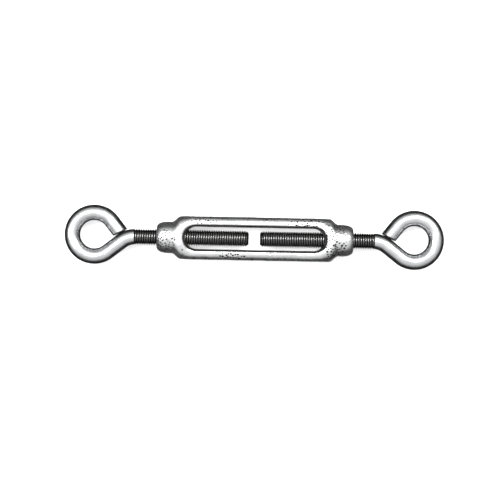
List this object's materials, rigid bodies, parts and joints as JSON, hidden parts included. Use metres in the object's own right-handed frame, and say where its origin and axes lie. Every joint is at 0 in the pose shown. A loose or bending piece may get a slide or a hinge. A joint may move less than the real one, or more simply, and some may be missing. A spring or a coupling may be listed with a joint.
{
  "type": "turnbuckle",
  "caption": "Open-body rigging turnbuckle: a cast frame with a right-hand and a left-hand threaded eye bolt that draw together as the body is turned.",
  "frame": {"origin": "middle of the cast body, on the screws' common axis", "axes": "+X along the screws towards the right-hand-threaded eye bolt, +Z square to the flat of the eyes and of the body's window, +Y in the flat of the eyes towards their cut ends"},
  "size_m": [0.242, 0.0378, 0.02],
  "materials": {
    "galvanised_casting": "galvanised malleable iron, as cast, light grey and satin",
    "plated_rod": "zinc-plated steel rod, fairly bright, with a rolled thread"
  },
  "bodies": {
    "body": {"turnbuckle_body": "galvanised_casting"},
    "right_screw_carrier": {"right_screw_point": "plated_rod"},
    "right_bolt": {"right_eye_bolt": "plated_rod"},
    "left_screw_carrier": {"left_screw_point": "plated_rod"},
    "left_bolt": {"left_eye_bolt": "plated_rod"}
  },
  "joints": [
    {"name": "right_screw_travel", "type": "slide", "parent": "body", "child": "right_screw_carrier", "axis": [1, 0, 0], "range_m": [-0.0029, 0.0413]},
    {"name": "right_screw_turn", "type": "hinge", "parent": "right_screw_carrier", "child": "right_bolt", "pos_m": [0.0032, 0, 0], "axis": [1, 0, 0], "range_deg": [-684, 9900]},
    {"name": "left_screw_travel", "type": "slide", "parent": "body", "child": "left_screw_carrier", "axis": [-1, 0, 0], "range_m": [-0.0037, 0.0406]},
    {"name": "left_screw_turn", "type": "hinge", "parent": "left_screw_carrier", "child": "left_bolt", "pos_m": [-0.004, 0, 0], "axis": [1, 0, 0], "range_deg": [-864, 9720]}
  ],
  "couplings": [
    {"joint": "right_screw_travel", "follows": "right_screw_turn", "m_per_rad": 0.00023873},
    {"joint": "left_screw_travel", "follows": "left_screw_turn", "m_per_rad": 0.00023873}
  ]
}
